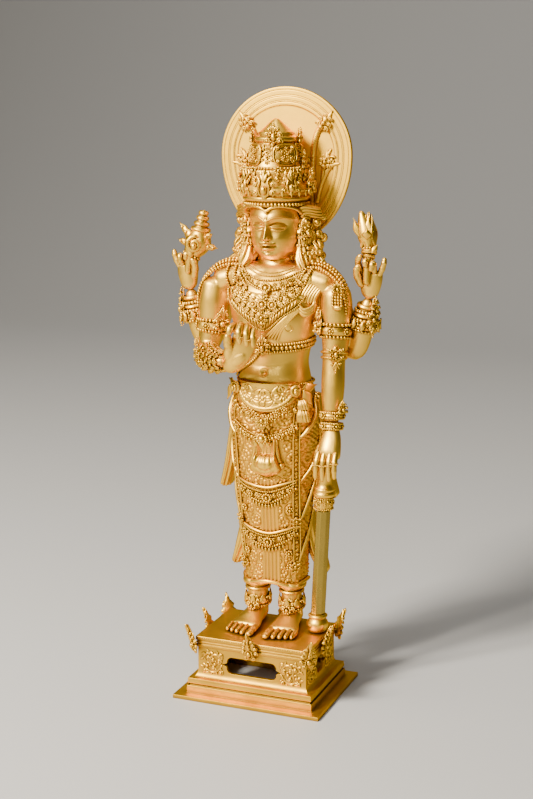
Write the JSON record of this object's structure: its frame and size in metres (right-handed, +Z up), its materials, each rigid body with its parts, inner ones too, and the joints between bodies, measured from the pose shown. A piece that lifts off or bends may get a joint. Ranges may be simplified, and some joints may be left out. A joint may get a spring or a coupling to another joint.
{
  "type": "vishnu figure",
  "caption": "Standing multi-armed Vishnu figure in gilt metal, with tall crown, halo plate, conch, lotus bud and mace, on its own hollow moulded plinth with leaf finials.",
  "frame": {"origin": "centre of the plinth's underside", "axes": "+Z up, the figure faces -Y, its raised front hand and conch are on the -X side and its mace and lotus bud on the +X side"},
  "size_m": [0.136, 0.074, 0.364],
  "materials": {
    "plinth_gilt": "satin gilding, darker in the recesses",
    "figure_gilt": "polished gilding on the skin, matte and orange brown in the carving",
    "halo_gilt": "smooth satin gilding",
    "mace_gilt": "polished gilding"
  },
  "bodies": {
    "root": {"plinth": "plinth_gilt", "figure": "figure_gilt", "halo": "halo_gilt", "mace": "mace_gilt"}
  },
  "joints": []
}
